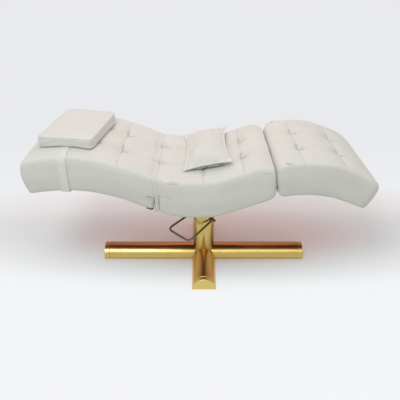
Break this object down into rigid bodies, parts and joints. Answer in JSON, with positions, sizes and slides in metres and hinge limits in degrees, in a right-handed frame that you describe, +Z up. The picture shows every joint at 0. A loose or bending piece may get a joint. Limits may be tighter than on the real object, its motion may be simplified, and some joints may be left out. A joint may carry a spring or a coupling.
{
  "type": "beauty bed",
  "caption": "Tufted pearl-coloured beauty bed with a hinged backrest and leg rest on a swivelling lift column, with a gold half-round cross base, a foot lever and loose pillows.",
  "frame": {"origin": "on the floor, on the column's axis, at the underside of the central glide", "axes": "+X along the bed towards the foot end, -Y towards the side with the badge, +Z up"},
  "size_m": [1.8472, 0.74, 0.8931],
  "materials": {
    "fabric": "pearl-coloured woven upholstery fabric, matt",
    "pillow_fabric": "pearl-coloured woven fabric, matt",
    "strap_fabric": "pearl-coloured fabric strap, matt",
    "foam": "open-cell upholstery foam",
    "plywood": "plain birch plywood",
    "lining": "black dust cloth",
    "black_steel": "black powder-coated steel",
    "gold_plate": "polished gold-coloured plate, blank",
    "brushed_gold": "brushed steel with a gold finish",
    "satin_gold": "satin steel with a gold finish",
    "black_plastic": "black moulded plastic",
    "bronze_bush": "turned bearing bronze",
    "black_rubber": "black rubber",
    "chrome": "hard chrome, ground",
    "zinc_steel": "zinc-plated steel",
    "dark_bronze": "dark bronze lacquer, glossy"
  },
  "bodies": {
    "base": {"long_beam": "brushed_gold", "front_beam": "brushed_gold", "rear_beam": "brushed_gold", "end_cap_front": "satin_gold", "end_cap_rear": "satin_gold", "end_cap_left": "satin_gold", "end_cap_right": "satin_gold", "glide_centre": "black_rubber", "glide_front": "black_rubber", "glide_rear": "black_rubber", "glide_left": "black_rubber", "glide_right": "black_rubber", "column_tube": "brushed_gold", "column_cap": "black_plastic", "ram_bush": "bronze_bush", "ram_wiper": "black_rubber", "pump_cylinder": "black_steel", "pump_gland": "bronze_bush", "pump_bolt_1": "zinc_steel", "pump_bolt_2": "zinc_steel", "pump_bolt_3": "zinc_steel", "pump_bolt_4": "zinc_steel", "lever_bolt_left": "dark_bronze", "lever_bolt_right": "dark_bronze"},
    "lever": {"lever_loop": "dark_bronze"},
    "ram": {"lift_ram": "chrome", "lift_piston": "black_rubber", "thrust_bearing": "zinc_steel"},
    "seat": {"swivel_hub": "black_steel", "mounting_plate": "black_steel", "plate_bolt_1": "zinc_steel", "plate_bolt_2": "zinc_steel", "plate_bolt_3": "zinc_steel", "plate_bolt_4": "zinc_steel", "seat_frame": "black_steel", "seat_board": "plywood", "seat_dust_cover": "lining", "seat_foam": "foam", "seat_cover": "fabric", "back_hinge_pin_near": "zinc_steel", "back_hinge_pin_far": "zinc_steel", "leg_hinge_pin_near": "zinc_steel", "leg_hinge_pin_far": "zinc_steel", "badge_plate": "gold_plate"},
    "backrest": {"back_frame": "black_steel", "back_board": "plywood", "back_dust_cover": "lining", "back_foam": "foam", "back_cover": "fabric", "head_pillow_cover": "pillow_fabric", "head_pillow_foam": "foam", "head_strap": "strap_fabric"},
    "leg_rest": {"leg_frame": "black_steel", "leg_board": "plywood", "leg_dust_cover": "lining", "leg_foam": "foam", "leg_cover": "fabric"},
    "loose_pillow": {"lumbar_pillow": "pillow_fabric"}
  },
  "joints": [
    {"name": "lift", "type": "slide", "parent": "base", "child": "ram", "axis": [0, 0, 1], "range_m": [0, 0.14]},
    {"name": "seat_swivel", "type": "hinge", "parent": "ram", "child": "seat", "pos_m": [0, 0, 0.4], "axis": [0, 0, 1], "continuous": true},
    {"name": "back_raise", "type": "hinge", "parent": "seat", "child": "backrest", "pos_m": [-0.247, 0, 0.665], "axis": [0, 1, 0], "range_deg": [0, 60]},
    {"name": "leg_drop", "type": "hinge", "parent": "seat", "child": "leg_rest", "pos_m": [0.391, 0, 0.606], "axis": [0, 1, 0], "range_deg": [0, 70]},
    {"name": "lever_rock", "type": "hinge", "parent": "base", "child": "lever", "pos_m": [0, 0, 0.286], "axis": [0.6896, -0.7242, 0], "range_deg": [0, 18], "stiffness_Nm_per_rad": 6, "springref_deg": -11.46},
    {"name": "pillow_lift", "type": "slide", "parent": "seat", "child": "loose_pillow", "axis": [0, 0, 1], "range_m": [0, 0.3]}
  ]
}
